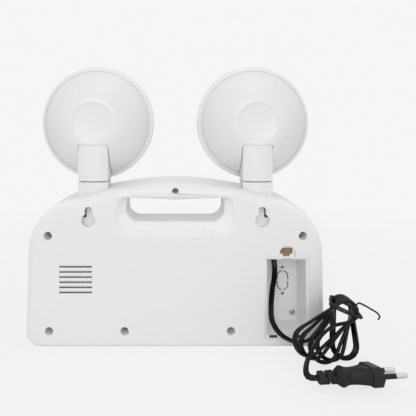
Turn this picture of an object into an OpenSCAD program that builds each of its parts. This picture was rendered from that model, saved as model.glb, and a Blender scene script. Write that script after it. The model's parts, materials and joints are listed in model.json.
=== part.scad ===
// Twin-spot emergency light with a carrying handle, seen from behind in its source picture.
// Frame: X to the right as seen from behind, Y the way the lamps shine, Z up, origin under the housing.

/* [Housing] */
// Width of the housing
housing_w = 262; // [230:1:300]
// Height of the housing at the middle of its arched top
housing_h = 143.5; // [138:0.5:150]
// Depth of the housing from the rear face to the front face
housing_d = 64; // [62:1:76]
// Drop of the arched top from the middle to the shoulders
arch_drop = 13; // [8:1:18]
// Radius of the two upper corners
shoulder_r = 50; // [40:1:54]
// Radius of the two lower corners
foot_r = 12; // [11:1:16]
// Rounding of the edges of the rear face and of the front face
edge_r = 9; // [5:0.5:10]
// Wall thickness of the two shells
wall = 2.5; // [2:0.25:3.5]
// Depth of the rear cover, measured from the rear face to the seam
rear_d = 40; // [38:1:46]

/* [Handle] */
// Width of the hand hole at its top
grip_top_w = 88; // [70:1:96]
// Width of the flat bottom of the hand hole
grip_bottom_w = 66; // [50:1:70]
// Height of the bottom edge of the hand hole
grip_z = 108.5; // [106:0.5:112]
// Thickness of the handle bar above the hole
bar_t = 16; // [13:0.5:18]
// Depth of the finger scoop around the hand hole
scoop_depth = 20; // [12:1:24]

/* [Wall mounting] */
// Distance between the two keyholes
keyhole_pitch = 153; // [140:1:160]
// Height of the centre of the keyhole's round entry
keyhole_z = 111; // [106:0.5:113]
// Diameter of the keyhole's round entry
keyhole_entry_d = 11.8; // [9:0.2:13]
// Width of the keyhole's slot
keyhole_slot_w = 6; // [4:0.2:7]

/* [Vents] */
// Number of vent slits
vent_count = 6; // [3:1:8]
// Width of each vent slit
vent_w = 28.7; // [20:0.5:34]
// Distance between vent slits
vent_pitch = 4.5; // [4:0.1:6]

/* [Cable compartment] */
// Width of the compartment's mouth
bay_w = 34.5; // [28:0.5:36]
// Height of the compartment's mouth
bay_h = 66.5; // [56:0.5:67]
// Depth of the compartment
bay_depth = 35; // [33:0.5:37]

/* [Lamp heads] */
// Distance between the two lamp heads
head_pitch = 150; // [144:1:160]
// Height of the centre of the lamp heads
head_z = 196.5; // [195:0.5:204]
// Outside diameter of the bezel ring
bezel_d = 108; // [96:1:112]
// Diameter of the dished middle of the bowl's back
dish_d = 38; // [30:1:44]
// Width of the necks
neck_w = 27; // [22:1:30]
// Depth of the necks
neck_d = 26.5; // [22:0.5:28]

/* [Test button] */
// Diameter of the test button
button_d = 8; // [6:0.5:10]
// Travel of the test button
button_travel = 1.8; // [1:0.1:2.5]

/* [Cord] */
// Thickness of the cord
cord_d = 3.6; // [3:0.1:4]
// Number of loops in the tied hank
hank_loops = 5; // [3:1:6]

/* [Hidden] */
$fn = 48;
// clearances, and how far a cut runs past the face that it opens
overrun = 1;
fit = 0.3;
seat = 0.02;

// housing
rear_y = -housing_d / 2;
front_y = housing_d / 2;
seam_y = rear_y + rear_d;
side_x = housing_w / 2;
shoulder_z = housing_h - arch_drop - shoulder_r;
arch_half = side_x - shoulder_r;
arch_steps = 8;
hull_facets = 48;
foot_edge_r = 3;
foot_edge_least = 0.8;

// handle
bar_belly = 1.3;
bar_belly_r = 200;
grip_top_z = housing_h - bar_t;
grip_corner_r = 11;
grip_top_corner_r = 4;
scoop_w = 116;
scoop_drop = 8;
scoop_r = 14;
scoop_shoulder = 5;
scoop_soft = 3;
// the scoop's slanted edge: how far in from the face its two ends lie, and how far the outline is grown there
scoop_edge = [[-1, 4.6], [1.6, 0]];
scoop_rise = 1.5;

// cover screws: counterbored holes in the rear face
screw_bore_d = 7.2;
screw_bore_depth = 16;
screw_head_d = 6.2;
screw_head_t = 2.4;
screw_shank_d = 3.4;
screw_shank_l = 34;
boss_d = 11;
boss_l = 20;
handle_boss_d = 9.8;
handle_bore_d = 5.8;
handle_head_d = 5.4;
recess_w = 1.1;
recess_depth = 1.2;
screw_side = 19;
upper_screw_x = side_x - screw_side;
upper_screw_z = 97.5;
lower_screw_z = 13.8;
lower_screw_side = 20;
inner_screw_x = [-44.6, 48.9];
lower_screw_x = concat([lower_screw_side - side_x], inner_screw_x);
handle_screw_z = housing_h - 7.2;

// keyholes
keyhole_ring = 1.9;
keyhole_ring_depth = 0.4;
keyhole_rise = 8.8;
pocket_depth = 5;
pocket_wall = 1.6;
pocket_w = 12.6;
pocket_h = 20;
pocket_open_z = 1.5;
pocket_gap_x = 2.9;

// vents
vent_x = -102;
vent_z = 47.6;
vent_slit = 1.2;
vent_ramp = 1.7;
vent_ramp_depth = 1.4;

// label fields that stay bare
label_x = -36;
label_w = 78;
label_z = 29;
label_h = 56;
lower_label_z = 12;
lower_label_h = 17;
label_depth = 0.15;
mould_mark_x = 28;
mould_mark_z = 20.6;
mould_mark_d = 7;

// cable compartment
bay_side = 50.2;
bay_x = side_x - bay_side;
bay_z = 10;
bay_wall = 2;
lip_side = 2;
lip_depth = 2;
lip_low = 2.8;
latch_r = 7.2;
latch_from_bay = 17.8;
latch_x = bay_x + latch_from_bay;
latch_z = 81.5;
latch_pocket_depth = 5;
latch_slot_w = 11;
latch_slot_z = 80.4;
latch_slot_h = 5.6;
latch_foot_w = 6;
latch_foot_h = 2.2;
rim_slot_from_bay = 2;
rim_slot_x = bay_x + rim_slot_from_bay;
rim_slot_w = 7.2;
rim_slot_z = 7.4;
rim_slot_h = 2.4;
rim_slot_depth = 6;
strip_t = 1;
knockout_from_bay = 20.8;
knockout_x = bay_x + knockout_from_bay;
knockout_z = 47;
knockout_w = 11.2;
knockout_h = 18.9;
knockout_line = 1.1;
knockout_bridge = 1.6;
inlet_screw_pitch = 25;
inlet_screw_d = 2.6;
cord_hole_from_bay = 9.7;
cord_hole_x = bay_x + cord_hole_from_bay;
cord_hole_y = -5;
cord_hole_d = 5.6;
gland_w = 12;
gland_d = 9;
gland_h = 11;
bay_screw_from_bay = 29.7;
bay_screw_x = bay_x + bay_screw_from_bay;
bay_screw_z = 17.5;
bay_screw_d = 5.1;
bay_screw_t = 2.2;

// swivel collars and necks
neck_bulge = 3.5;
neck_back_y = -20;
neck_gap_z = 143.3;
neck_gap = 0.8;
knuckle_round = 3;
pan_y = -7;
collar_deep = 15;
spigot_d = 14;
spigot_l = 18;
wire_bore_d = 7;
retainer_d = 20;
retainer_t = 1.5;
neck_shelf = 14;
neck_slope_z = 160;
neck_slot_gap = 0.45;
pivot_y = -8;
pivot_z = 170.2;
pin_d = 4;
pin_l = 34;
ear_t = 3;
ear_d = 8;

// lamp heads
bowl_wall = 2;
bowl_back_y = -19;
bowl_rim_y = 13;
bowl_lip = 1.2;
dish_depth = 2.2;
bowl_rim_r = 51;
bowl_steps = 10;
bowl_bend_share = 1.43;
bezel_front_y = 21;
bezel_back_y = 11.5;
bezel_wall = 2.2;
bezel_ledge = 2.4;
lens_t = 2;
lens_crown = 1.6;
reflector_back_y = 10.5;
reflector_front_y = 17.6;
reflector_in_r = 22;
reflector_out_r = 46.5;
reflector_t = 1.2;
board_t = 1.6;
led_board_r = 25;
led_chip_d = 5;
led_chip_h = 2.2;
led_ring_r = 14;
led_count = 8;
post_d = 5;

// inside the housing
battery_x = -78;
battery_w = 101;
battery_free = 12;
battery_d = housing_d - 2 * wall - battery_free;
battery_h = 70;
battery_post = 6;
bracket_w = 16;
bracket_t = 1.2;
bracket_foot = 12;
board_x = 33;
board_side = 10;
board_w = side_x - board_x - board_side;
board_z = 5.5;
board_h = 84;
board_gap = 0.3;
chip_w = 14;
chip_h = 10;
chip_t = 5;
transformer_w = 32;
transformer_h = 24;
parts_z = 22;
transformer_share = 0.72;
chip_shares = [0.52, 0.82];

// front controls
led_x = 52;
led_step = 12;
led_d = 5;
led_proud = 0.5;
controls_z = 60;
button_x = 96;
button_proud = 0.5;
button_flange = 1.5;
button_flange_t = 1.2;
switch_w = 6;
switch_t = 3.5;
switch_free = 0.4;

// battery and board follow the shells
battery_z = lower_screw_z + boss_d / 2 + fit;
board_y = rear_y + bay_depth + bay_wall + board_gap;
floor_y = rear_y + bay_depth;
rim_slots = [rim_slot_x, bay_x + bay_w - latch_foot_h - rim_slot_w];
bay_lip_x = bay_x - lip_side;
bay_lip_z = bay_z - lip_low;
bay_lip_w = bay_w + 2 * lip_side;
bay_lip_h = bay_h + lip_low + lip_side;

// cord: the stretch from the compartment's roof to the hank, chosen by hand along the picture
lead_route = [
    [90.5, -5, 87], [90.5, -5, 76], [91, -5, 72], [92, -5.5, 67], [92, -8, 61], [90.5, -13, 54],
    [87.5, -20, 47], [85, -28, 39], [83.5, -34.5, 31], [84, -37.5, 25], [87, -38.5, 19],
    [92, -39, 13.5], [98.5, -39, 9.5], [106, -39, 7.5], [113, -38.5, 8.5], [119.5, -38, 12],
    [125.5, -38, 17], [130.5, -39, 23.5], [133.5, -40.5, 31]
];
// cord: the stretch from the hank down to the plug
tail_route = [
    [123, -70.5, 33], [118, -72.5, 30], [113, -75, 26.5], [108.5, -78.5, 22.5], [104, -83, 18.5],
    [100.5, -87.5, 14.5], [98.5, -92, 11], [98.5, -96, 9], [101, -98.5, 8.5], [105.5, -98.5, 8.5]
];
// half of the housing's width that these points were chosen for: the cord moves with the compartment
cord_side = 131;
cord_shift = [side_x - cord_side, 0, 0];

// plug: relief, body and flange along its own axis, then two pins
plug_at = [105.7, -98.5, 8.5];
plug_yaw = 4;
plug_pitch = 1.5;
plug_roll = -16;
relief_l = 15.5;
relief_d = 9.6;
relief_groove_d = 7;
relief_slots = 3;
relief_slot = 1.8;
relief_rib = 2.2;
plug_body_l = 21;
waist_w = 15;
waist_t = 12.2;
swell_w = 22;
swell_t = 12.6;
flange_l = 8.5;
flange_w = 33;
flange_t = 13.7;
flange_flat = 22;
plug_round = 2;
plug_pin_d = 4;
plug_pin_l = 19;
sleeve_d = 3.8;
sleeve_l = 10;
plug_pin_pitch = 18.6;

// hank: each loop is a belt round a small top arc and a wider bottom arc, fanned about its waist at the tie
hank_rings = 24;
hank_sides = 6;
hank_start_share = 0.88;
hank_end_share = 0.14;
hank_top = [142, -42, 48];
hank_step = [-0.6, -4.4, 0.9];
hank_lean_share = 0.3;
hank_waist = 8;
hank_top_r = 7.2;
hank_bottom_r = [10, 11, 11, 10, 10.5, 10.5];
hank_length = [46, 49.5, 53, 56, 58, 58];
hank_turn = [-2, -26, -35, -49, -57, -84];
tie_d = 1.5;
tie_pitch = 1.8;
tie_turn = -20;
tie_drop = 6;
tie_extra = 10;
// the tie's ring round the strands: across the hank and along Y, from its middle
tie_ring = [
    [13.8, 0], [15.3, 8], [12, 14], [4, 17.4], [-3.8, 15.6], [-6.8, 9], [-8.6, 2],
    [-11.6, -5], [-11.4, -11], [-3.5, -15], [4, -16.4], [12, -15.2], [13.4, -7]
];
tie_tail = [
    [147, -69, 46], [152, -68, 50.5], [158, -66, 47.5], [164, -65, 42.5], [166, -64.5, 39], [164.5, -64, 37]
];

// Small helpers: a run along Y, and a shape pushed from one depth to another
module along_y(y = 0) {
    translate([0, y, 0]) rotate([-90, 0, 0]) children();
}

module pushed(from_y, to_y) {
    translate([0, to_y, 0]) rotate([90, 0, 0]) linear_extrude(to_y - from_y) children();
}

module rod(d, l, at, y) {
    translate([at[0], y, at[1]]) rotate([-90, 0, 0]) cylinder(d = d, h = l);
}

function arch_z(x) = housing_h - arch_drop * pow(x / arch_half, 2);

// The housing's outer form, drawn in by a distance on every side
module pillow(inset, from_y, to_y) {
    round_r = edge_r - inset;
    hull() {
        for (side = [-1, 1]) {
            foot_x = side * (side_x - foot_r);
            foot_edge = max(foot_edge_r - inset, foot_edge_least);
            rim_ring(foot_x, foot_r, foot_r - inset, foot_edge, from_y, to_y);
            rim_ring(side * arch_half, shoulder_z, shoulder_r - inset, round_r, from_y, to_y);
        }
        for (step = [-arch_steps : arch_steps]) {
            x = arch_half * step / (arch_steps + 1);
            rim_ring(x, arch_z(x) - edge_r, round_r, round_r, from_y, to_y);
        }
    }
}

// One rounded disc of that form between two depths
module rim_ring(x, z, r, round_r, from_y, to_y) {
    translate([x, from_y, z]) rotate([-90, 0, 0]) rotate_extrude($fn = hull_facets) {
        polygon(concat([[0, 0]],
            [for (a = [0 : 15 : 90]) [r - round_r + round_r * sin(a), round_r - round_r * cos(a)]],
            [for (a = [90 : -15 : 0])
                [r - round_r + round_r * sin(a), to_y - from_y - round_r + round_r * cos(a)]],
            [[0, to_y - from_y]]));
    }
}

// The points of a closed outline whose corners, [x, z, radius], are rounded by arcs
function unit(v) = v / norm(v);
function corner_arc(before, at, after, r) =
    let (
        p = [at[0], at[1]],
        a = unit([before[0], before[1]] - p),
        b = unit([after[0], after[1]] - p),
        half = acos(a * b) / 2,
        centre = p + unit(a + b) * r / sin(half),
        from = p + a * r / tan(half) - centre,
        to = p + b * r / tan(half) - centre,
        steps = 8
    )
    [for (i = [0 : steps]) centre + unit(from * (1 - i / steps) + to * i / steps) * r];
function rounded(corners) = [
    for (i = [0 : len(corners) - 1])
        each corner_arc(corners[(i + len(corners) - 1) % len(corners)], corners[i],
            corners[(i + 1) % len(corners)], corners[i][2])
];

// The hand hole: narrower below, with large lower corners and a bar that is thicker in its middle
module grip_outline(grow) {
    top = grip_top_w / 2 + grow;
    low = grip_bottom_w / 2 + grip_corner_r + grow;
    polygon(rounded([
        [-top, grip_top_z + grow, grip_top_corner_r + grow],
        [0, grip_top_z - bar_belly + grow, bar_belly_r],
        [top, grip_top_z + grow, grip_top_corner_r + grow],
        [low, grip_z - grow, grip_corner_r + grow],
        [-low, grip_z - grow, grip_corner_r + grow]
    ]));
}

// The finger scoop's outline on the faces, below the handle bar
module scoop_outline(grow) {
    top = grip_top_w / 2 + scoop_shoulder + grow;
    low = scoop_w / 2 + grow;
    polygon(rounded([
        [-top, grip_top_z + scoop_rise + grow / 2, grip_top_corner_r + scoop_soft + grow],
        [top, grip_top_z + scoop_rise + grow / 2, grip_top_corner_r + scoop_soft + grow],
        [low, grip_z - scoop_drop - grow, scoop_r + grow],
        [-low, grip_z - scoop_drop - grow, scoop_r + grow]
    ]));
}

// The scoop itself, cut from one face: a slanted edge, then it narrows to the hole
module scoop(face_y, inward, grow) {
    deep_y = face_y + inward * scoop_depth;
    hull() for (at = scoop_edge) scoop_slice(face_y, inward, at, grow);
    hull() {
        scoop_slice(face_y, inward, scoop_edge[1], grow);
        pushed(deep_y - seat, deep_y + seat) grip_outline(grow);
    }
}

module scoop_slice(face_y, inward, at, grow) {
    y = face_y + inward * at[0];
    pushed(y - seat, y + seat) scoop_outline(at[1] + grow);
}

// One shell: the pillow form between two depths, hollowed but for the tunnel round the hand hole
module shell(from_y, to_y, face_y, inward) {
    difference() {
        intersection() {
            pillow(0, rear_y, front_y);
            slab(from_y, to_y);
        }
        difference() {
            pillow(wall, rear_y + wall, front_y - wall);
            scoop(face_y, inward, wall);
            pushed(from_y, to_y) grip_outline(wall);
        }
    }
}

// Everything between two depths
module slab(from_y, to_y) {
    translate([-housing_w, from_y, -housing_h]) cube([2 * housing_w, to_y - from_y, 3 * housing_h]);
}

// A hollow boss for a cover screw, standing on the inside of the rear face
module boss(at, d, l) {
    rod(d, l, at, rear_y + seat);
}

module screw_places() {
    for (side = [-1, 1]) screw_place([side * upper_screw_x, upper_screw_z]) children();
    for (x = lower_screw_x) screw_place([x, lower_screw_z]) children();
}

module screw_place(at) {
    translate([at[0], rear_y, at[1]]) rotate([-90, 0, 0]) children();
}

module keyhole_cut(grow) {
    for (side = [-1, 1]) {
        translate([side * keyhole_pitch / 2, 0, keyhole_z]) {
            along_y(rear_y - overrun) cylinder(d = keyhole_entry_d + 2 * grow, h = wall + 2 * overrun);
            along_y(rear_y - overrun) translate([0, -keyhole_rise]) {
                cylinder(d = keyhole_slot_w + 2 * grow, h = wall + 2 * overrun);
            }
            translate([-keyhole_slot_w / 2 - grow, rear_y - overrun, 0])
                cube([keyhole_slot_w + 2 * grow, wall + 2 * overrun, keyhole_rise]);
        }
    }
}

// The shallow ring around each keyhole, and the closed pocket behind it that takes the screw's head
module keyhole_rings() {
    intersection() {
        keyhole_cut(keyhole_ring);
        slab(rear_y - overrun, rear_y + keyhole_ring_depth);
    }
}

module keyhole_pockets(grow) {
    for (side = [-1, 1]) {
        translate([side * keyhole_pitch / 2 - pocket_w / 2 - grow, rear_y + wall - grow,
                keyhole_z - pocket_w / 2 - grow]) {
            cube([pocket_w + 2 * grow, pocket_depth + 2 * grow, pocket_h + 2 * grow]);
        }
    }
}

// The pockets are open beside the slots, where the wall screw's head slides: on both sides, and outside also behind
module keyhole_windows() {
    for (side = [-1, 1]) {
        translate([side * keyhole_pitch / 2, rear_y + wall, keyhole_z + pocket_open_z]) {
            translate([-pocket_w, 0, 0]) cube([2 * pocket_w, pocket_depth, keyhole_rise]);
            translate([side > 0 ? pocket_gap_x : -pocket_gap_x - pocket_w, 0, 0])
                cube([pocket_w, pocket_depth + pocket_wall + overrun, keyhole_rise]);
        }
    }
}

// Vent slits, each under a ramp that slopes in from above
module vent_cuts() {
    for (i = [0 : vent_count - 1]) {
        z = vent_z + i * vent_pitch;
        translate([vent_x, rear_y - overrun, z - vent_slit / 2])
            cube([vent_w, wall + 2 * overrun, vent_slit]);
        translate([vent_x, rear_y, z]) rotate([90, 0, 90]) linear_extrude(vent_w) {
            polygon([[-overrun, 0], [vent_ramp_depth, 0], [0, vent_slit / 2 + vent_ramp],
                [-overrun, vent_slit / 2 + vent_ramp]]);
        }
    }
}

// Shallow fields for labels, left bare, and a round mould mark
module label_fields() {
    translate([label_x, rear_y - overrun, label_z]) cube([label_w, overrun + label_depth, label_h]);
    translate([label_x, rear_y - overrun, lower_label_z]) {
        cube([label_w, overrun + label_depth, lower_label_h - overrun]);
    }
    rod(mould_mark_d, overrun + 2 * label_depth, [mould_mark_x, mould_mark_z], rear_y - overrun);
}

// Cable compartment: the tray, what is cut from it, and the notch for its latch
module bay_tray() {
    translate([bay_x - bay_wall, rear_y + wall - seat, bay_z - bay_wall]) {
        cube([bay_w + 2 * bay_wall, bay_depth + bay_wall - wall + seat, bay_h + 2 * bay_wall]);
    }
    intersection() {
        rod(2 * (latch_r + bay_wall), latch_pocket_depth + bay_wall, [latch_x, latch_z], rear_y + seat);
        slab(rear_y + seat, front_y);
    }
}

module bay_cuts() {
    translate([bay_x, rear_y - overrun, bay_z]) cube([bay_w, bay_depth + overrun, bay_h]);
    translate([bay_lip_x, rear_y - overrun, bay_lip_z]) {
        cube([bay_lip_w, lip_depth + overrun, bay_lip_h]);
    }
    rod(2 * latch_r, latch_pocket_depth + overrun, [latch_x, latch_z], rear_y - overrun);
    translate([latch_x - latch_slot_w / 2, rear_y, latch_slot_z])
        cube([latch_slot_w, bay_depth, latch_slot_h]);
    translate([latch_x - latch_foot_w / 2, rear_y, latch_slot_z - latch_foot_h]) {
        cube([latch_foot_w, latch_pocket_depth + bay_wall + overrun, latch_foot_h + overrun]);
    }
    for (x = rim_slots) {
        translate([x, rear_y - overrun, rim_slot_z])
            cube([rim_slot_w, rim_slot_depth + overrun, rim_slot_h]);
    }
    translate([cord_hole_x, cord_hole_y, bay_z + bay_h - overrun]) {
        cylinder(d = cord_hole_d, h = bay_wall + 2 * overrun);
    }
    knockout();
    for (side = [-1, 1]) {
        rod(inlet_screw_d, bay_wall + 2 * overrun, [knockout_x, knockout_z + side * inlet_screw_pitch / 2],
            floor_y - overrun);
    }
}

// The knockout for an inlet: a long oval line, broken by four bridges
module knockout() {
    difference() {
        pushed(floor_y - overrun, floor_y + bay_wall + overrun) difference() {
            knockout_oval(0);
            knockout_oval(knockout_line);
        }
        for (turn = [0, 90]) {
            translate([knockout_x, floor_y, knockout_z]) rotate([0, turn, 0])
                cube([knockout_bridge, 2 * (bay_wall + overrun), 2 * knockout_h], center = true);
        }
    }
}

module knockout_oval(inset) {
    r = knockout_w / 2;
    translate([knockout_x, knockout_z]) {
        for (side = [-1, 1]) translate([0, side * (knockout_h / 2 - r)]) circle(r = r - inset);
        square([2 * (r - inset), knockout_h - 2 * r], center = true);
    }
}

module rear_cover() {
    color("#e8e8e8") difference() {
        union() {
            shell(rear_y, seam_y, rear_y, 1);
            intersection() {
                union() {
                    for (side = [-1, 1]) boss([side * upper_screw_x, upper_screw_z], boss_d, boss_l);
                    for (x = lower_screw_x) boss([x, lower_screw_z], boss_d, boss_l);
                    boss([0, handle_screw_z], handle_boss_d, boss_l);
                    keyhole_pockets(pocket_wall);
                    bay_tray();
                }
                pillow(0, rear_y, front_y);
            }
        }
        scoop(rear_y, 1, 0);
        pushed(rear_y - overrun, front_y) grip_outline(0);
        screw_places() {
            translate([0, 0, -overrun]) cylinder(d = screw_bore_d, h = screw_bore_depth + overrun);
            cylinder(d = screw_shank_d + fit, h = boss_l + overrun);
        }
        screw_place([0, handle_screw_z]) {
            translate([0, 0, -overrun]) cylinder(d = handle_bore_d, h = screw_bore_depth / 2 + overrun);
            cylinder(d = screw_shank_d + fit, h = boss_l + overrun);
        }
        keyhole_windows();
        keyhole_rings();
        keyhole_cut(0);
        keyhole_pockets(0);
        vent_cuts();
        label_fields();
        bay_cuts();
        collar_seats();
    }
}

// The front shell: smooth, with posts that take the cover screws, and holes for the lamps and the button
module front_shell() {
    post_y = rear_y + boss_l + fit;
    post_l = front_y - post_y - wall + seat;
    color("#ececec") difference() {
        union() {
            shell(seam_y + seat, front_y, front_y, -1);
            intersection() {
                union() {
                    for (side = [-1, 1]) rod(boss_d, post_l, [side * upper_screw_x, upper_screw_z], post_y);
                    for (x = lower_screw_x) rod(boss_d, post_l, [x, lower_screw_z], post_y);
                    rod(handle_boss_d, post_l, [0, handle_screw_z], post_y);
                }
                pillow(wall / 2, rear_y + wall, front_y - wall / 2);
            }
        }
        scoop(front_y, -1, 0);
        pushed(rear_y, front_y + overrun) grip_outline(0);
        screw_places() translate([0, 0, boss_l]) cylinder(d = screw_shank_d, h = screw_shank_l - boss_l);
        screw_place([0, handle_screw_z]) {
            translate([0, 0, boss_l]) cylinder(d = screw_shank_d, h = screw_shank_l - boss_l);
        }
        for (i = [0 : 2])
            rod(led_d + 2 * fit, wall + 2 * overrun, [led_x + i * led_step, controls_z], front_y - wall - overrun);
        rod(button_d + 2 * fit, wall + 2 * overrun, [button_x, controls_z], front_y - wall - overrun);
        collar_seats();
    }
}

// Holes in the top of both shells that the swivel collars fill
module collar_seats() {
    for (side = [-1, 1]) {
        translate([side * head_pitch / 2, 0, neck_gap_z - collar_deep - overrun])
            neck_plan(fit, 2 * collar_deep);
    }
}

// The necks' plan: a rounded back and a flat front, drawn about the lamp head's middle plane
module neck_plan(grow, h) {
    half = neck_w / 2;
    back_r = (half * half + neck_bulge * neck_bulge) / (2 * neck_bulge);
    linear_extrude(h) intersection() {
        translate([0, neck_back_y + back_r]) circle(r = back_r + grow, $fn = 4 * $fn);
        translate([-half - grow, neck_back_y - grow]) square([neck_w + 2 * grow, neck_d + 2 * grow]);
    }
}

// The fixed collars: each fills its hole in the top and has a flange under it
module swivel_collars() {
    color("#e6e6e6") for (side = [-1, 1]) translate([side * head_pitch / 2, 0, 0]) difference() {
        translate([0, 0, neck_gap_z - neck_gap / 2 - collar_deep]) neck_plan(0, collar_deep);
        translate([0, pan_y, neck_gap_z - 2 * collar_deep])
            cylinder(d = spigot_d + 2 * fit, h = 3 * collar_deep);
    }
}

// The knuckle at a neck's top: a drum round the tilt axis with rounded ends, so that the bowl turns about it
module knuckle(grow) {
    half = neck_w / 2 + grow;
    inner_r = pivot_y - neck_back_y + grow - knuckle_round;
    flat = half - knuckle_round;
    translate([0, pivot_y, pivot_z]) rotate([0, 90, 0]) rotate_extrude($fn = 96) polygon(concat([[0, -half]],
        [for (a = [-90 : 15 : 0]) [inner_r + knuckle_round * cos(a), knuckle_round * sin(a) - flat]],
        [for (a = [0 : 15 : 90]) [inner_r + knuckle_round * cos(a), knuckle_round * sin(a) + flat]],
        [[0, half]]));
}

// A neck: the plan above up to its knuckle, with a sloping front, a spigot and a wire bore
module neck(side) {
    low = neck_gap_z + neck_gap / 2;
    front = neck_back_y + neck_d;
    translate([side * head_pitch / 2, 0, 0]) color("#e7e7e7") difference() {
        union() {
            intersection() {
                translate([0, 0, low]) neck_plan(0, pivot_z + neck_d - low);
                union() {
                    rotate([90, 0, 90]) translate([0, 0, -neck_w / 2]) linear_extrude(neck_w) polygon([
                        [neck_back_y, low], [front, low], [front, neck_slope_z],
                        [2 * pivot_y - neck_back_y, pivot_z], [neck_back_y, pivot_z]
                    ]);
                    knuckle(0);
                }
            }
            translate([0, pan_y, low - spigot_l]) cylinder(d = spigot_d, h = spigot_l + overrun);
        }
        translate([0, pan_y, low - spigot_l - overrun]) cylinder(d = wire_bore_d, h = spigot_l + neck_shelf);
        translate([-neck_w, pivot_y, pivot_z]) rotate([0, 90, 0]) cylinder(d = pin_d + fit, h = 2 * neck_w);
    }
}

// The clip that holds a neck's spigot down, under the collar
module neck_clip(side) {
    top = neck_gap_z - neck_gap / 2 - collar_deep - fit;
    translate([side * head_pitch / 2, pan_y, top - retainer_t]) color("#8d9093") difference() {
        cylinder(d = retainer_d, h = retainer_t);
        translate([0, 0, -overrun]) cylinder(d = spigot_d + 4 * seat, h = retainer_t + 2 * overrun);
    }
}

module tilt_pin(side) {
    translate([side * head_pitch / 2 - pin_l / 2, pivot_y, pivot_z]) rotate([0, 90, 0])
        color("#a9adb0") cylinder(d = pin_d, h = pin_l);
}

// A lamp head's axis, which its revolved pieces turn about
module on_head(side) {
    translate([side * head_pitch / 2, 0, head_z]) rotate([-90, 0, 0]) children();
}

// The back of a bowl: a curve between a cone and a quarter circle, from the dish to the rim
function bowl_curve(inset) = [
    for (i = [0 : bowl_steps])
        let (a = 90 * i / bowl_steps, lip_r = dish_d / 2 + bowl_lip)
        [lip_r + (bowl_rim_r - lip_r) * pow(sin(a), bowl_bend_share) - inset,
            bowl_rim_y - (bowl_rim_y - bowl_back_y) * pow(cos(a), bowl_bend_share)
                + (i < bowl_steps ? inset : 0)]
];

function dish_curve(inset) = [
    for (i = [0 : bowl_steps])
        let (a = 90 * i / bowl_steps)
        [dish_d / 2 * sin(a), bowl_back_y + inset + dish_depth * cos(a)]
];

module bowl(side) {
    slot_w = neck_w + 2 * neck_slot_gap;
    color("#e4e4e4") difference() {
        union() {
            on_head(side) rotate_extrude($fn = 96) polygon(concat(dish_curve(0), bowl_curve(0),
                [for (i = [bowl_steps : -1 : 0]) bowl_curve(bowl_wall)[i]],
                [[0, bowl_back_y + dish_depth + bowl_wall]]));
            intersection() {
                translate([side * head_pitch / 2, pivot_y, pivot_z]) for (end = [-1, 1]) {
                    translate([end * (slot_w + ear_t) / 2, 0, 0]) rotate([0, 90, 0]) {
                        cylinder(d = ear_d, h = ear_t, center = true);
                        translate([-ear_d / 2, bowl_back_y, -ear_t / 2]) cube([ear_d, -bowl_back_y, ear_t]);
                    }
                }
                on_head(side) rotate_extrude($fn = 96) polygon(concat([[0, bowl_back_y + dish_depth + seat]],
                    bowl_curve(bowl_wall / 2), [[0, bowl_rim_y]]));
            }
        }
        translate([side * head_pitch / 2, 0, 0]) {
            knuckle(neck_slot_gap);
            translate([-slot_w / 2, bowl_back_y - overrun, pivot_z - bezel_d / 2])
                cube([slot_w, bezel_back_y - bowl_back_y + overrun, bezel_d / 2]);
            translate([-pin_l / 2 - fit, pivot_y, pivot_z]) rotate([0, 90, 0])
                cylinder(d = pin_d + fit, h = pin_l + 2 * fit);
        }
    }
}

// The bezel ring snaps over the bowl's rim and holds the lens
module bezel(side) {
    out_r = bezel_d / 2;
    color("#eeeeee") on_head(side) rotate_extrude($fn = 96) polygon([
        [bowl_rim_r + seat, bezel_back_y], [out_r - bezel_ledge / 4, bezel_back_y],
        [out_r, bezel_back_y + bezel_ledge],
        [out_r, bezel_front_y - bezel_ledge / 2], [out_r - bezel_ledge / 2, bezel_front_y],
        [out_r - bezel_wall - bezel_ledge, bezel_front_y],
        [out_r - bezel_wall - bezel_ledge, bezel_front_y - bezel_wall / 2],
        [bowl_rim_r - bezel_ledge, bezel_front_y - bezel_wall / 2],
        [bowl_rim_r - bezel_ledge, bowl_rim_y + fit],
        [bowl_rim_r + seat, bowl_rim_y + fit]
    ]);
}

// The clear lens, with a low crown, set behind the bezel's inner edge
module lens(side) {
    r = bowl_rim_r - bezel_ledge - fit;
    back = bezel_front_y - bezel_wall / 2 - lens_t;
    color("#dfe6ea") on_head(side) rotate_extrude($fn = 96) polygon(concat(
        [[0, back], [r, back], [r, back + lens_t]],
        [for (i = [bowl_steps : -1 : 0])
            let (share = i / bowl_steps)
            [(r - bezel_ledge) * share, back + lens_t + lens_crown * (1 - share * share)]]));
}

module reflector(side) {
    color("#d5d8da") on_head(side) difference() {
        rotate_extrude($fn = 96) polygon([
            [0, reflector_back_y], [reflector_in_r + reflector_t, reflector_back_y],
            [reflector_out_r, reflector_front_y - reflector_t], [reflector_out_r, reflector_front_y],
            [reflector_out_r - reflector_t, reflector_front_y],
            [reflector_in_r, reflector_back_y + reflector_t], [0, reflector_back_y + reflector_t]
        ]);
        led_places() translate([0, 0, reflector_back_y - overrun])
            cylinder(d = led_chip_d + 2 * fit, h = reflector_t + 2 * overrun);
    }
}

module led_places() {
    for (i = [0 : led_count - 1]) rotate(i * 360 / led_count) translate([led_ring_r, 0, 0]) children();
}

module led_board(side) {
    color("#f2f2ee") on_head(side) {
        translate([0, 0, reflector_back_y - board_t - seat]) cylinder(r = led_board_r, h = board_t);
        led_places() translate([0, 0, reflector_back_y - seat]) cylinder(d = led_chip_d, h = led_chip_h);
        posts = led_count / 2;
        for (turn = [0 : posts - 1]) rotate(turn * 360 / posts + 45) translate([led_ring_r, 0, 0])
            translate([0, 0, bowl_back_y + dish_depth + bowl_wall + seat])
                cylinder(d = post_d, h = reflector_back_y - board_t - bowl_back_y - dish_depth - bowl_wall - seat);
    }
}

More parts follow.
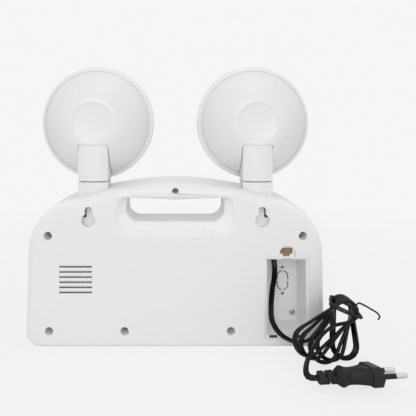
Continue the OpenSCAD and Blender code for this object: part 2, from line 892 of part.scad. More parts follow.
// Inside the housing: the battery with its strap, and the board behind the compartment
module battery() {
    translate([battery_x, -battery_d / 2, battery_z]) color("#3c4043") {
        cube([battery_w, battery_d, battery_h - battery_post]);
        for (x = [battery_post, battery_w - 2 * battery_post]) {
            translate([x, battery_post, battery_h - battery_post])
                cube([battery_post, battery_post / 2, battery_post]);
        }
    }
}

module battery_strap() {
    high = battery_z + battery_h - battery_post + fit;
    x = battery_x + (battery_w - bracket_w) / 2;
    far_y = battery_d / 2 + fit;
    color("#b9bcbe") {
        translate([x, -far_y - bracket_t, high]) cube([bracket_w, 2 * (far_y + bracket_t), bracket_t]);
        for (y = [-far_y - bracket_t, far_y]) {
            translate([x, y, battery_z]) cube([bracket_w, bracket_t, high - battery_z + bracket_t]);
        }
        translate([x, far_y, high]) cube([bracket_w, front_y - wall - far_y - seat, bracket_t]);
    }
}

module main_board() {
    color("#8a7350") difference() {
        translate([board_x, board_y, board_z]) cube([board_w, board_t, board_h]);
        for (x = [board_x + post_d, board_x + board_w - post_d]) {
            rod(inlet_screw_d, board_t + 2 * overrun, [x, board_z + board_h - post_d], board_y - overrun);
        }
        rod(boss_d + 2 * fit, board_t + 2 * overrun, [lower_screw_x[2], lower_screw_z], board_y - overrun);
    }
    strip_z = bay_z + bay_h + bay_wall + seat;
    color("#8a7350") {
        translate([latch_x - latch_slot_w / 2 - strip_t, rear_y + latch_pocket_depth + bay_wall + seat, strip_z])
            cube([latch_slot_w + 2 * strip_t, board_t, latch_slot_z + latch_slot_h + strip_t - strip_z]);
        for (x = rim_slots)
            translate([x + seat, rear_y + rim_slot_depth - strip_t - seat, rim_slot_z + seat])
                cube([rim_slot_w - 2 * seat, strip_t, rim_slot_h - 2 * seat]);
    }
}

// What stands on the board: a transformer, two chips and the test button's switch
module board_parts() {
    face = board_y + board_t + seat;
    color("#4b4f52") {
        translate([board_x + post_d, face, parts_z])
            cube([transformer_w, transformer_share * (front_y - wall - face), transformer_h]);
        for (share = chip_shares)
            translate([board_x + share * board_w, face, parts_z]) cube([chip_w, chip_t, chip_h]);
        translate([button_x - switch_w / 2, face, controls_z - switch_w / 2])
            cube([switch_w, switch_t, switch_w]);
    }
}

// Three indicator lamps: a post from the board, a collar behind the wall and a domed tip through it
module status_leds() {
    face = board_y + board_t + seat;
    tip = front_y + led_proud - face;
    r = led_d / 2;
    color("#dfe3e0") for (i = [0 : 2]) translate([led_x + i * led_step, face, controls_z]) {
        rotate([-90, 0, 0]) rotate_extrude() polygon(concat(
            [[0, 0], [r - fit, 0], [r - fit, tip - 2 * led_d], [r, tip - 2 * led_d]],
            [for (a = [0 : 15 : 90]) [r * cos(a), tip - r + r * sin(a)]]));
    }
}

// The test button: a cap in its hole, a flange behind the wall and a stem to its switch
module test_button() {
    inner_y = front_y - wall - fit - button_flange_t;
    stem_y = board_y + board_t + switch_t + button_travel + switch_free;
    color("#999b9e") union() {
        rod(button_d, front_y + button_proud - inner_y, [button_x, controls_z], inner_y);
        rod(button_d + 2 * button_flange, button_flange_t, [button_x, controls_z], inner_y);
        rod(button_d / 2, inner_y - stem_y + seat, [button_x, controls_z], stem_y);
    }
}

// Cover screws: cross-recessed heads deep in their bores, one in the handle bar
module cover_screws() {
    head_y = screw_bore_depth - screw_head_t;
    color("#8b8f92") {
        screw_places() translate([0, 0, head_y]) screw(screw_head_d);
        screw_place([0, handle_screw_z]) translate([0, 0, screw_bore_depth / 2 - screw_head_t])
            screw(handle_head_d);
    }
}

module screw(head_d) {
    difference() {
        union() {
            cylinder(d = head_d, h = screw_head_t - seat);
            cylinder(d = screw_shank_d - fit, h = screw_shank_l - screw_bore_depth);
        }
        for (turn = [0, 90]) rotate(turn) translate([-head_d / 3, -recess_w / 2, -overrun])
            cube([2 * head_d / 3, recess_w, recess_depth + overrun]);
    }
}

// The pan-head screw that stands on a low boss in the compartment's floor
module bay_screw() {
    color("#c4c7c9") translate([bay_screw_x, floor_y - seat, bay_screw_z]) rotate([90, 0, 0]) difference() {
        union() {
            intersection() {
                cylinder(d = bay_screw_d, h = bay_screw_t);
                translate([0, 0, bay_screw_t - bay_screw_d]) sphere(r = bay_screw_d);
            }
        }
        for (turn = [0, 90])
            rotate(turn) translate([-bay_screw_d / 3, -recess_w / 2, bay_screw_t - recess_depth / 2])
            cube([2 * bay_screw_d / 3, recess_w, recess_depth]);
    }
}

// The gland above the compartment's roof, which grips the cord
module cord_gland() {
    color("#dcdcdc") difference() {
        translate([cord_hole_x - gland_w / 2, cord_hole_y - gland_d / 2, bay_z + bay_h + bay_wall + seat])
            cube([gland_w, gland_d, gland_h]);
        translate([cord_hole_x, cord_hole_y, bay_z + bay_h]) cylinder(d = cord_d + fit, h = 2 * gland_h);
    }
}

// A tube along points: rings carried along without twist, closed by two flat ends
function carried(tangents, side) = [
    for (i = 0, s = unit(side - (side * tangents[0]) * tangents[0]); i < len(tangents);
        i = i + 1, s = i < len(tangents) ? unit(s - (s * tangents[i]) * tangents[i]) : s) s
];
function tangents(points) = [
    for (i = [0 : len(points) - 1])
        unit(points[min(i + 1, len(points) - 1)] - points[max(i - 1, 0)])
];

module tube(points, d, sides, side) {
    runs = tangents(points);
    across = carried(runs, side);
    rings = [
        for (i = [0 : len(points) - 1], k = [0 : sides - 1])
            let (up = cross(runs[i], across[i]), a = 360 * k / sides)
            points[i] + d / 2 * (cos(a) * across[i] + sin(a) * up)
    ];
    last = len(points) - 1;
    walls = [
        for (i = [0 : last - 1], k = [0 : sides - 1])
            let (a = i * sides + k, b = i * sides + (k + 1) % sides)
            each [[a, b + sides, b], [a, a + sides, b + sides]]
    ];
    caps = [
        for (k = [1 : sides - 2])
            each [[0, k, k + 1], [last * sides, last * sides + k + 1, last * sides + k]]
    ];
    polyhedron(points = rings, faces = concat(walls, caps), convexity = 10);
}

// The belt that a loop of the hank follows, by its share of the way round from the top, clockwise
function belt(share, l, r1, r2) =
    let (
        run = l - r1 - r2,
        tilt = asin((r2 - r1) / run),
        flank = run * cos(tilt),
        top_arc = r1 * (90 - tilt) * PI / 180,
        low_arc = r2 * (180 + 2 * tilt) * PI / 180,
        way = share * (2 * top_arc + 2 * flank + low_arc),
        mirrored = way > top_arc + flank + low_arc / 2,
        s = mirrored ? 2 * top_arc + 2 * flank + low_arc - way : way,
        p = s < top_arc ? arc_point(r1, -r1, 90 - s / r1 * 180 / PI)
            : s < top_arc + flank
                ? arc_point(r1, -r1, tilt) + (s - top_arc) * [sin(tilt), -cos(tilt)]
                : arc_point(r2, r2 - l, tilt - (s - top_arc - flank) / r2 * 180 / PI)
    )
    mirrored ? [-p[0], p[1]] : p;
function arc_point(r, centre, a) = [r * cos(a), centre + r * sin(a)];

// The step from one loop to the next is taken while the cord passes over the top
function loop_step(t) =
    let (nearest = round(t), off = (t - nearest) / hank_end_share)
    nearest + (off < -1 ? -1 : off > 1 ? 0 : (sin(off * 90) - 1) / 2);
function blended(values, at) =
    let (low = max(0, floor(at)), share = max(0, at) - low)
    values[low] * (1 - share) + values[min(low + 1, len(values) - 1)] * share;

function hank_point(t) =
    let (
        at = loop_step(t),
        p = belt(t - floor(t), blended(hank_length, at), hank_top_r, blended(hank_bottom_r, at))
            + [0, hank_waist],
        a = blended(hank_turn, at),
        across = p[0] * cos(a) - p[1] * sin(a),
        up = p[0] * sin(a) + p[1] * cos(a) - hank_waist
    )
    hank_top + at * hank_step + [across, up * hank_lean_share, up];
hank_points = [
    for (i = [0 : hank_rings * hank_loops + ceil(2 * hank_rings * hank_end_share)])
        hank_point(hank_start_share - 1 + i / hank_rings)
];

// The least gap between turns of the hank, measured on its points
hank_gap = min([
    for (i = [0 : len(hank_points) - 1], j = [i + 5 : 1 : len(hank_points) - 1])
        norm(hank_points[i] - hank_points[j])
]) - cord_d;
echo(hank_gap = hank_gap, first = hank_points[0], last = hank_points[len(hank_points) - 1]);

function way(points) = len(points) < 2 ? 0
    : [for (i = 1, s = norm(points[1] - points[0]); i < len(points);
        i = i + 1, s = i < len(points) ? s + norm(points[i] - points[i - 1]) : s) s][len(points) - 2];
echo(lead = way(lead_route), hank = way(hank_points), tail = way(tail_route));

module cord_lead() {
    color("#1c1c1e") translate(cord_shift)
        tube(concat(lead_route, [hank_points[0]]), cord_d, hank_sides, [0, 1, 0]);
}

module cord_hank() {
    color("#1c1c1e") translate(cord_shift) tube(hank_points, cord_d, hank_sides, [0, 1, 0]);
}

module cord_tail() {
    color("#1c1c1e") translate(cord_shift)
        tube(concat([hank_points[len(hank_points) - 1]], tail_route), cord_d, hank_sides, [0, 1, 0]);
}

// The wire tie: nearly two turns round the hank's waist in a plane across it, then a tail with a hooked end
module cord_tie() {
    along = [sin(tie_turn), 0, -cos(tie_turn)];
    across = [cos(tie_turn), 0, sin(tie_turn)];
    centre = hank_top + hank_loops / 2 * hank_step + tie_drop * along;
    count = len(tie_ring);
    turns = [
        for (i = [0 : count + tie_extra])
            let (at = tie_ring[i % count])
            centre + at[0] * across + [0, at[1], 0]
                + tie_pitch * ((count + tie_extra) / 2 - i) / count * along
    ];
    color("#232325") translate(cord_shift) tube(concat(turns, tie_tail), tie_d, hank_sides, [0, 0, 1]);
}

// The plug lies on its side, pins to the right
module on_plug() {
    translate(plug_at + cord_shift) rotate([0, 0, plug_yaw]) rotate([0, -plug_pitch, 0])
        rotate([plug_roll, 0, 0]) children();
}

module plug_slice(x, w, t) {
    translate([x - plug_round / 2, 0, 0]) rotate([90, 0, 90]) linear_extrude(plug_round) polygon(rounded([
        [-w / 2, t / 2, t / 3], [w / 2, t / 2, t / 3], [w / 2, -t / 2, t / 3], [-w / 2, -t / 2, t / 3]
    ]));
}

module plug_body() {
    flange_x = relief_l + plug_body_l;
    color("#2b2c2e") on_plug() difference() {
        union() {
            rotate([0, 90, 0]) rotate_extrude() polygon(concat([[0, 0]],
                [for (i = [0 : relief_slots - 1])
                    let (x = i * (relief_slot + relief_rib))
                    each [[relief_d / 2, x], [relief_d / 2, x + relief_rib],
                        [relief_groove_d / 2, x + relief_rib],
                        [relief_groove_d / 2, x + relief_rib + relief_slot]]],
                [[relief_d / 2, relief_slots * (relief_slot + relief_rib)],
                    [relief_d / 2, relief_l + plug_round], [0, relief_l + plug_round]]));
            hull() {
                plug_slice(relief_l, relief_d, relief_d);
                plug_slice(relief_l + plug_body_l / 3, waist_w, waist_t);
            }
            hull() {
                plug_slice(relief_l + plug_body_l / 3, waist_w, waist_t);
                plug_slice(flange_x - plug_body_l / 4, swell_w, swell_t);
            }
            hull() {
                plug_slice(flange_x - plug_body_l / 4, swell_w, swell_t);
                plug_slice(flange_x + plug_round / 2, flange_w - plug_round, flange_t - plug_round);
            }
            translate([flange_x, 0, 0]) rotate([90, 0, 90]) linear_extrude(flange_l) polygon([
                [-flange_w / 2, 0], [-flange_flat / 2, flange_t / 2], [flange_flat / 2, flange_t / 2],
                [flange_w / 2, 0], [flange_flat / 2, -flange_t / 2], [-flange_flat / 2, -flange_t / 2]
            ]);
        }
        translate([-overrun, 0, 0]) rotate([0, 90, 0]) cylinder(d = cord_d - fit, h = overrun);
    }
}

module plug_sleeves() {
    color("#242527") on_plug() for (side = [-1, 1]) {
        translate([relief_l + plug_body_l + flange_l + seat, side * plug_pin_pitch / 2, 0]) rotate([0, 90, 0])
            cylinder(d = sleeve_d, h = sleeve_l);
    }
}

module plug_pins() {
    color("#d8d8d8") on_plug() for (side = [-1, 1]) {
        translate([relief_l + plug_body_l + flange_l + sleeve_l + 2 * seat, side * plug_pin_pitch / 2, 0]) {
            rotate([0, 90, 0]) cylinder(d = plug_pin_d, h = plug_pin_l - sleeve_l - plug_pin_d / 2);
            translate([plug_pin_l - sleeve_l - plug_pin_d / 2, 0, 0]) sphere(d = plug_pin_d);
        }
    }
}

rear_cover();
front_shell();
cover_screws();
bay_screw();
swivel_collars();
neck(-1);  // neck_left
neck(1);  // neck_right
neck_clip(-1);  // neck_clip_left
neck_clip(1);  // neck_clip_right
tilt_pin(-1);  // tilt_pin_left
tilt_pin(1);  // tilt_pin_right
bowl(-1);  // bowl_left
bowl(1);  // bowl_right
bezel(-1);  // bezel_left
bezel(1);  // bezel_right
lens(-1);  // lens_left
lens(1);  // lens_right
reflector(-1);  // reflector_left
reflector(1);  // reflector_right
led_board(-1);  // led_board_left
led_board(1);  // led_board_right
battery();
battery_strap();
main_board();
board_parts();
status_leds();
test_button();
cord_gland();
cord_lead();
cord_hank();
cord_tail();
cord_tie();
plug_body();
plug_sleeves();
plug_pins();
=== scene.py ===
# Twin-spot emergency light, seen from behind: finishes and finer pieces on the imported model
import json
import math

import bmesh
import bpy
from mathutils import Matrix, Vector


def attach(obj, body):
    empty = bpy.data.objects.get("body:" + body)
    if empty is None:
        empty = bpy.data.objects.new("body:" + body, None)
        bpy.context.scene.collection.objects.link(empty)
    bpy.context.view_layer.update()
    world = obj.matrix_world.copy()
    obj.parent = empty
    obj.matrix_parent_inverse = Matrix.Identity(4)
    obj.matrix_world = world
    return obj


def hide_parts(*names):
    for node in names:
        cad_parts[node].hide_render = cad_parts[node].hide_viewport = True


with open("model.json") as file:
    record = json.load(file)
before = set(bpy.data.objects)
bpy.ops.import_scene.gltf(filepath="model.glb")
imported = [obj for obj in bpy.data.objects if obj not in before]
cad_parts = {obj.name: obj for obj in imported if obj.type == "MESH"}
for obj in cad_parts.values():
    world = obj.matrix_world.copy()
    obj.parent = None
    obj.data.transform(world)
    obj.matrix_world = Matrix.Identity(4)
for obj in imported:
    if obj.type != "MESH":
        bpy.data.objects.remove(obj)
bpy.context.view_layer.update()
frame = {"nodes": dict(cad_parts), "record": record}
nodes = frame["nodes"]
mm = 0.001
tiny = 1e-9  # keeps a division away from zero
keyStep = 1e-7  # m
print("frame loaded with", len(nodes), "nodes")

# the camera stands level behind the light and looks along +Y
cameraSetup = {
    "place": (0, -462, 202),  # mm
    "tilt": 90,  # degrees up from looking straight down
    "lens": 42.4,
    "shiftX": 0.0784,
    "shiftY": -0.2188,
    "nearest": 10,  # mm
}


def makeCamera():
    c = cameraSetup
    data = bpy.data.cameras.new("camera")
    data.lens = c["lens"]
    data.shift_x = c["shiftX"]
    data.shift_y = c["shiftY"]
    data.clip_start = c["nearest"] * mm
    camera = bpy.data.objects.new("camera", data)
    camera.location = Vector(c["place"]) * mm
    camera.rotation_euler = (math.radians(c["tilt"]), 0, 0)
    bpy.context.collection.objects.link(camera)
    bpy.context.scene.camera = camera


makeCamera()


# finishes: shader nodes written as plain sums
class Wire:
    # an output socket; sums on it add Math nodes
    def __init__(self, finish, socket):
        self.finish = finish
        self.socket = socket

    def sum(self, operation, first, second):
        return self.finish.add("Math", {"operation": operation}, {0: first, 1: second})

    def __add__(self, other):
        return self.sum("ADD", self, other)

    def __radd__(self, other):
        return self.sum("ADD", other, self)

    def __sub__(self, other):
        return self.sum("SUBTRACT", self, other)

    def __rsub__(self, other):
        return self.sum("SUBTRACT", other, self)

    def __mul__(self, other):
        return self.sum("MULTIPLY", self, other)

    def __rmul__(self, other):
        return self.sum("MULTIPLY", other, self)

    def __truediv__(self, other):
        return self.sum("DIVIDE", self, other)

    def __rtruediv__(self, other):
        return self.sum("DIVIDE", other, self)


class NodeSheet:
    # the node tree of a material or of the world, with one way to add a node to it
    def __init__(self, tree):
        self.tree = tree

    def add(self, kind, settings=None, sockets=None, out=0):
        node = self.tree.nodes.new("ShaderNode" + kind)
        for key, value in (settings or {}).items():
            if key == "stops":
                ramp = node.color_ramp
                while len(ramp.elements) < len(value):
                    ramp.elements.new(1)
                for element, (place, level) in zip(ramp.elements, value):
                    element.position = place
                    element.color = (level, level, level, 1)
            else:
                setattr(node, key, value)
        for key, value in (sockets or {}).items():
            self.feed(node.inputs[key], value)
        return Wire(self, node.outputs[out])

    def feed(self, socket, value):
        if isinstance(value, Wire):
            self.tree.links.new(value.socket, socket)
        elif isinstance(value, tuple) and len(value) == 3 and socket.type == "RGBA":
            socket.default_value = (*value, 1)
        else:
            socket.default_value = value


class Finish(NodeSheet):
    def __init__(self, name, **values):
        self.material = bpy.data.materials.new(name)
        self.material.use_nodes = True
        super().__init__(self.material.node_tree)
        self.shader = self.tree.nodes["Principled BSDF"]
        self.output = self.tree.nodes["Material Output"]
        self.set(**values)

    def set(self, **values):
        for name, value in values.items():
            self.feed(self.shader.inputs[name.replace("_", " ")], value)

    def noise(self, scale, detail, stretch=None):
        where = self.add("TexCoord", out="Object")
        if stretch:
            where = self.add("Mapping", sockets={"Vector": where, "Scale": stretch})
        return self.add("TexNoise", sockets={"Vector": where, "Scale": scale, "Detail": detail})

    def ramp(self, value, *stops):
        return self.add("ValToRGB", {"stops": stops}, {"Fac": value})

    def blend(self, share, first, second):
        return self.add("Mix", {"data_type": "RGBA"}, {0: share, 6: first, 7: second}, out=2)

    def placeAlong(self, axis):
        # where a point lies along one axis, in m
        where = self.add("TexCoord", out="Object")
        return self.add("SeparateXYZ", sockets={0: where}, out=axis)

    def colourSoFar(self):
        return Wire(self, self.shader.inputs["Base Color"].links[0].from_socket)

    def bump(self, height, distance, strength):
        made = self.add("Bump", sockets={"Height": height, "Distance": distance, "Strength": strength})
        self.set(Normal=made)


def scaledColour(colour, share):
    return tuple(share * c for c in colour)


# moulded plastic; a noise is its size in waves per metre, its octaves and its stretch
mouldedLook = {
    "cloud": (14, 4),
    "scuff": (170, 5, (1, 3, 1)),
    "scuffStops": ((0.62, 0), (0.74, 1)),
    "scuffShare": 0.35,
    "scuffRough": 0.08,
    "mottle": (60, 3),
    "mottleRough": 0.07,
    "spark": (2600, 2),
    "sparkStrength": 0.6,
}


def mouldedFinish(name, colour, darkShare, roughness, grain, **values):
    # a faint cloud of flow marks, rare scuffs and a fine spark-eroded grain
    c = mouldedLook
    finish = Finish(name, **values)
    cloud = finish.noise(*c["cloud"])
    scuff = finish.ramp(finish.noise(*c["scuff"]), *c["scuffStops"])
    tone = finish.blend(cloud, colour, scaledColour(colour, darkShare))
    scuffed = scaledColour(colour, darkShare * darkShare)
    finish.set(Base_Color=finish.blend(scuff * c["scuffShare"], tone, scuffed))
    finish.set(Roughness=roughness + c["mottleRough"] * finish.noise(*c["mottle"]) + c["scuffRough"] * scuff)
    finish.bump(finish.noise(*c["spark"]), grain, c["sparkStrength"])
    return finish


# the housing: below the handle bar, everything behind the rear face gets a brighter white, painted light
# that lifts the shade in the hand hole, bay and keyholes and also lightens the sides
shellLook = {
    "colour": (0.875, 0.878, 0.876),
    "darkShare": 0.975,
    "roughness": 0.36,
    "grain": 0.00002,  # m
    "paintedRecessLight": (0.95, 0.952, 0.95),
    "barFoot": 0.126,  # m
    "barBlend": 0.006,  # m
    "back": -0.032,  # m
    "backBlend": 0.004,  # m
    "backStops": ((0.2, 0), (0.8, 1)),
}


def shellFinish():
    c = shellLook
    finish = mouldedFinish("white_shell", c["colour"], c["darkShare"], c["roughness"], c["grain"])
    below = finish.ramp((finish.placeAlong("Z") - c["barFoot"]) / c["barBlend"], (0, 1), (1, 0))
    inward = finish.ramp((finish.placeAlong("Y") - c["back"]) / c["backBlend"], *c["backStops"])
    # painted light: a brighter white below the bar and behind the rear face, standing in for light reaching
    # into the recesses
    finish.set(Base_Color=finish.blend(below * inward, finish.colourSoFar(), c["paintedRecessLight"]))
    return finish


metalLook = {
    "streak": (900, 3),
    "darkShare": 0.78,
    "streakRough": 0.16,
    "streakDeep": 0.00002,  # m
    "streakStrength": 0.5,
}


def metalFinish(name, colour, roughness, stretch=(1, 1, 1)):
    c = metalLook
    finish = Finish(name, Metallic=1.0)
    streak = finish.noise(*c["streak"], stretch)
    finish.set(Base_Color=finish.blend(streak, colour, scaledColour(colour, c["darkShare"])))
    finish.set(Roughness=roughness + c["streakRough"] * streak)
    finish.bump(streak, c["streakDeep"], c["streakStrength"])
    return finish


# plated screws; the one in the handle, which sits above the others, is coloured darker
screwLook = {
    "plated": (0.56, 0.55, 0.53),
    "handleDarker": (0.17, 0.17, 0.172),
    "handleFoot": 0.125,  # m
    "roughness": 0.3,
}


def screwFinish():
    c = screwLook
    finish = metalFinish("screw_steel", c["plated"], c["roughness"])
    high = finish.placeAlong("Z")
    inHandle = finish.add("Math", {"operation": "GREATER_THAN"}, {0: high, 1: c["handleFoot"]})
    # the screw in the handle, above handleFoot, is coloured darker than the plated ones
    finish.set(Base_Color=finish.blend(inHandle, finish.colourSoFar(), c["handleDarker"]))
    return finish


# brown paper laminate of the circuit board, with its fibres
laminateLook = {
    "pale": (0.36, 0.25, 0.15),
    "dark": (0.25, 0.16, 0.09),
    "fibre": (500, 4, (1, 1, 6)),
    "fibreDeep": 0.00003,  # m
    "fibreStrength": 0.6,
    "roughness": 0.55,
}


def laminateFinish():
    c = laminateLook
    finish = Finish("brown_board", Roughness=c["roughness"])
    fibre = finish.noise(*c["fibre"])
    finish.set(Base_Color=finish.blend(fibre, c["pale"], c["dark"]))
    finish.bump(fibre, c["fibreDeep"], c["fibreStrength"])
    return finish


clearLook = {
    "index": 1.49,  # acrylic
    "cloud": (20, 2),
    "darkShare": 0.97,
    "mottle": (300, 3),
    "mottleRough": 0.02,
}


def clearFinish(name, tint, roughness):
    c = clearLook
    finish = Finish(name, Transmission_Weight=1.0, IOR=c["index"])
    cloud = finish.noise(*c["cloud"])
    finish.set(Base_Color=finish.blend(cloud, tint, scaledColour(tint, c["darkShare"])))
    finish.set(Roughness=roughness + c["mottleRough"] * finish.noise(*c["mottle"]))
    return finish


# the yellow cap of a white light source
phosphorLook = {
    "pale": (0.83, 0.62, 0.11),
    "deep": (0.72, 0.49, 0.07),
    "speck": (2200, 2),
    "speckDeep": 0.00002,  # m
    "speckStrength": 0.4,
    "coat": 0.6,
    "roughness": 0.35,
}


def phosphorFinish():
    c = phosphorLook
    finish = Finish("phosphor", Coat_Weight=c["coat"], Roughness=c["roughness"])
    speck = finish.noise(*c["speck"])
    finish.set(Base_Color=finish.blend(speck, c["pale"], c["deep"]))
    finish.bump(speck, c["speckDeep"], c["speckStrength"])
    return finish


whiteShell = shellFinish()
# moulded: name, colour, share of it in the darker tone, roughness, depth of the grain in m
whiteLamp = mouldedFinish("white_lamp", (0.862, 0.866, 0.866), 0.975, 0.32, 0.00001)
whiteRing = mouldedFinish("white_ring", (0.89, 0.893, 0.893), 0.98, 0.25, 0.00001)
glandWhite = mouldedFinish("gland_white", (0.72, 0.72, 0.70), 0.93, 0.4, 0.00002)
batteryCase = mouldedFinish("battery_case", (0.05, 0.055, 0.06), 0.75, 0.45, 0.00003)
lampBoard = mouldedFinish("lamp_board", (0.82, 0.82, 0.78), 0.94, 0.4, 0.00001)
buttonGrey = mouldedFinish("button_grey", (0.34, 0.35, 0.36), 0.9, 0.4, 0.00003)
chipBlack = mouldedFinish("board_chips", (0.03, 0.031, 0.033), 0.7, 0.5, 0.00003)
plugBlack = mouldedFinish("plug_black", (0.02, 0.0205, 0.022), 0.7, 0.42, 0.00005, Specular_IOR_Level=0.22)
tieBlack = mouldedFinish("tie_black", (0.012, 0.012, 0.013), 0.7, 0.38, 0.00003, Specular_IOR_Level=0.3)
cordBlack = mouldedFinish("cord_black", (0.003, 0.003, 0.0032), 0.6, 0.17, 0.00001, Specular_IOR_Level=0.2)
screwSteel = screwFinish()
# metal: name, colour, roughness, stretch of the streaks
clipZinc = metalFinish("clip_zinc", (0.62, 0.62, 0.63), 0.35, (1, 8, 1))
pinNickel = metalFinish("pin_nickel", (0.80, 0.77, 0.72), 0.16, (0.2, 3, 3))
mirrorFilm = metalFinish("mirror_film", (0.86, 0.87, 0.88), 0.05)
brownBoard = laminateFinish()
# clear: name, tint, roughness
clearLens = clearFinish("clear_lens", (0.97, 0.98, 0.985), 0.02)
clearLed = clearFinish("led_clear", (0.95, 0.97, 0.95), 0.06)
phosphor = phosphorFinish()

finishOfSlot = {
    "white_abs": whiteShell, "bezel_white": whiteRing, "screw_steel": screwSteel, "clip_zinc": clipZinc,
    "clear_lens": clearLens, "mirror_film": mirrorFilm, "lamp_board": lampBoard,
    "battery_case": batteryCase, "brown_board": brownBoard, "board_chips": chipBlack,
    "led_clear": clearLed, "button_grey": buttonGrey, "cord_black": cordBlack, "tie_black": tieBlack,
    "plug_black": plugBlack, "pin_nickel": pinNickel,
}
slotOfNode = {part["node"]: part["material_slot"] for part in frame["record"]["subparts"]}


def finishOfNode(name):
    if name.startswith(("bowl", "neck_left", "neck_right", "swivel")):
        return whiteLamp
    if name == "cord_gland":
        return glandWhite
    return finishOfSlot[slotOfNode[name]]


for name, node in nodes.items():
    node.data.materials.clear()
    node.data.materials.append(finishOfNode(name).material)
print("finishes made")


# small tools for shapes
orderAlong = Vector((1, 0.37, 0.113))  # a skew way, so that hardly any two faces lie level on it


def orderMesh(bm):
    # operators leave edges and faces in an order that changes from run to run
    bm.edges.sort(key=lambda edge: sum(v.co.dot(orderAlong) for v in edge.verts))
    bm.faces.sort(key=lambda face: face.calc_center_median().dot(orderAlong))


def newPiece(name, bm, body, finish, smoothAngle):
    bmesh.ops.recalc_face_normals(bm, faces=bm.faces)
    orderMesh(bm)
    return placePiece(name, bm, body, finish, smoothAngle)


def placePiece(name, bm, body, finish, smoothAngle):
    sharp = math.radians(smoothAngle)
    for face in bm.faces:
        face.smooth = True
    for edge in bm.edges:
        edge.smooth = len(edge.link_faces) == 2 and edge.calc_face_angle(0) < sharp
    mesh = bpy.data.meshes.new(name)
    bm.to_mesh(mesh)
    bm.free()
    piece = bpy.data.objects.new(name, mesh)
    bpy.context.collection.objects.link(piece)
    piece.data.materials.append(finish.material)
    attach(piece, body)
    return piece


lineSetup = {
    "finer": 12,  # short steps between two points
    "leanShare": 0.35,  # how strongly a ring turns towards the lean
}


def smoothLine(points, spacing):
    # a Catmull-Rom curve through the points, cut at an even spacing
    finer = lineSetup["finer"]
    ends = [2 * points[0] - points[1]] + points + [2 * points[-1] - points[-2]]
    dense = []
    for i in range(1, len(ends) - 2):
        before, start, end, after = ends[i - 1 : i + 3]
        for step in range(finer):
            t = step / finer
            dense.append(
                0.5 * (2 * start + (end - before) * t
                       + (2 * before - 5 * start + 4 * end - after) * t * t
                       + (3 * start - 3 * end + after - before) * t ** 3)
            )
    dense.append(points[-1])
    walked = [0.0]
    for a, b in zip(dense, dense[1:]):
        walked.append(walked[-1] + (b - a).length)
    count = round(walked[-1] / spacing)
    line, at = [], 0
    for i in range(count + 1):
        want = walked[-1] * i / count
        while at < len(walked) - 2 and walked[at + 1] < want:
            at += 1
        share = (want - walked[at]) / max(walked[at + 1] - walked[at], tiny)
        line.append(dense[at].lerp(dense[at + 1], min(share, 1)))
    return line


def ringFrames(line, lean):
    # a matrix per point: thickness along X, width along Y, the way of the line along Z
    frames, side = [], lean
    for i, point in enumerate(line):
        run = (line[min(i + 1, len(line) - 1)] - line[max(i - 1, 0)]).normalized()
        wanted = lean - run * lean.dot(run)
        side = side - run * side.dot(run)
        side.normalize()
        side = side + lineSetup["leanShare"] * wanted * (1 if side.dot(wanted) > 0 else -1)
        side.normalize()
        up = run.cross(side)
        frames.append(Matrix.Translation(point) @ Matrix((side, up, run)).transposed().to_4x4())
    return frames


def sweepRing(frames, sides, shape, sizes=None):
    # one ring of points, carried along the frames and closed at both ends
    bm = bmesh.new()
    ring = bmesh.ops.create_circle(bm, cap_ends=False, radius=1, segments=sides)["verts"]
    for v in ring:
        v.co = shape(v.co)
    sizes = sizes or [1] * len(frames)
    placed = frames[0] @ Matrix.Scale(sizes[0], 4)
    bmesh.ops.transform(bm, matrix=placed, verts=ring)
    edges = list(bm.edges)
    bmesh.ops.contextual_create(bm, geom=edges)
    for here, size in zip(frames[1:], sizes[1:]):
        wanted = here @ Matrix.Scale(size, 4)
        out = bmesh.ops.extrude_edge_only(bm, edges=edges)["geom"]
        verts = [g for g in out if isinstance(g, bmesh.types.BMVert)]
        edges = [g for g in out if isinstance(g, bmesh.types.BMEdge)]
        bmesh.ops.transform(bm, matrix=wanted @ placed.inverted(), verts=verts)
        placed = wanted
    bmesh.ops.contextual_create(bm, geom=edges)
    return bm


turnedMerge = 0.01  # mm


def addTurned(bm, profile, place, steps):
    # turns a profile of radius and depth round the Y axis, then puts it in its place
    # points of earlier turns in the same mesh are tagged and stay where they are
    verts = [bm.verts.new(Vector((radius, depth, 0)) * mm) for radius, depth in profile]
    edges = [bm.edges.new(pair) for pair in zip(verts, verts[1:])]
    closed = profile[0] == profile[-1]
    bmesh.ops.spin(
        bm, geom=verts + edges, cent=(0, 0, 0), axis=(0, 1, 0), dvec=(0, 0, 0),
        angle=math.tau, steps=steps, use_merge=True,
    )
    if closed or profile[0][0] == 0 or profile[-1][0] == 0:
        bmesh.ops.remove_doubles(bm, verts=[v for v in bm.verts if not v.tag], dist=turnedMerge * mm)
    bmesh.ops.transform(bm, matrix=place, verts=[v for v in bm.verts if not v.tag])
    for v in bm.verts:
        v.tag = True


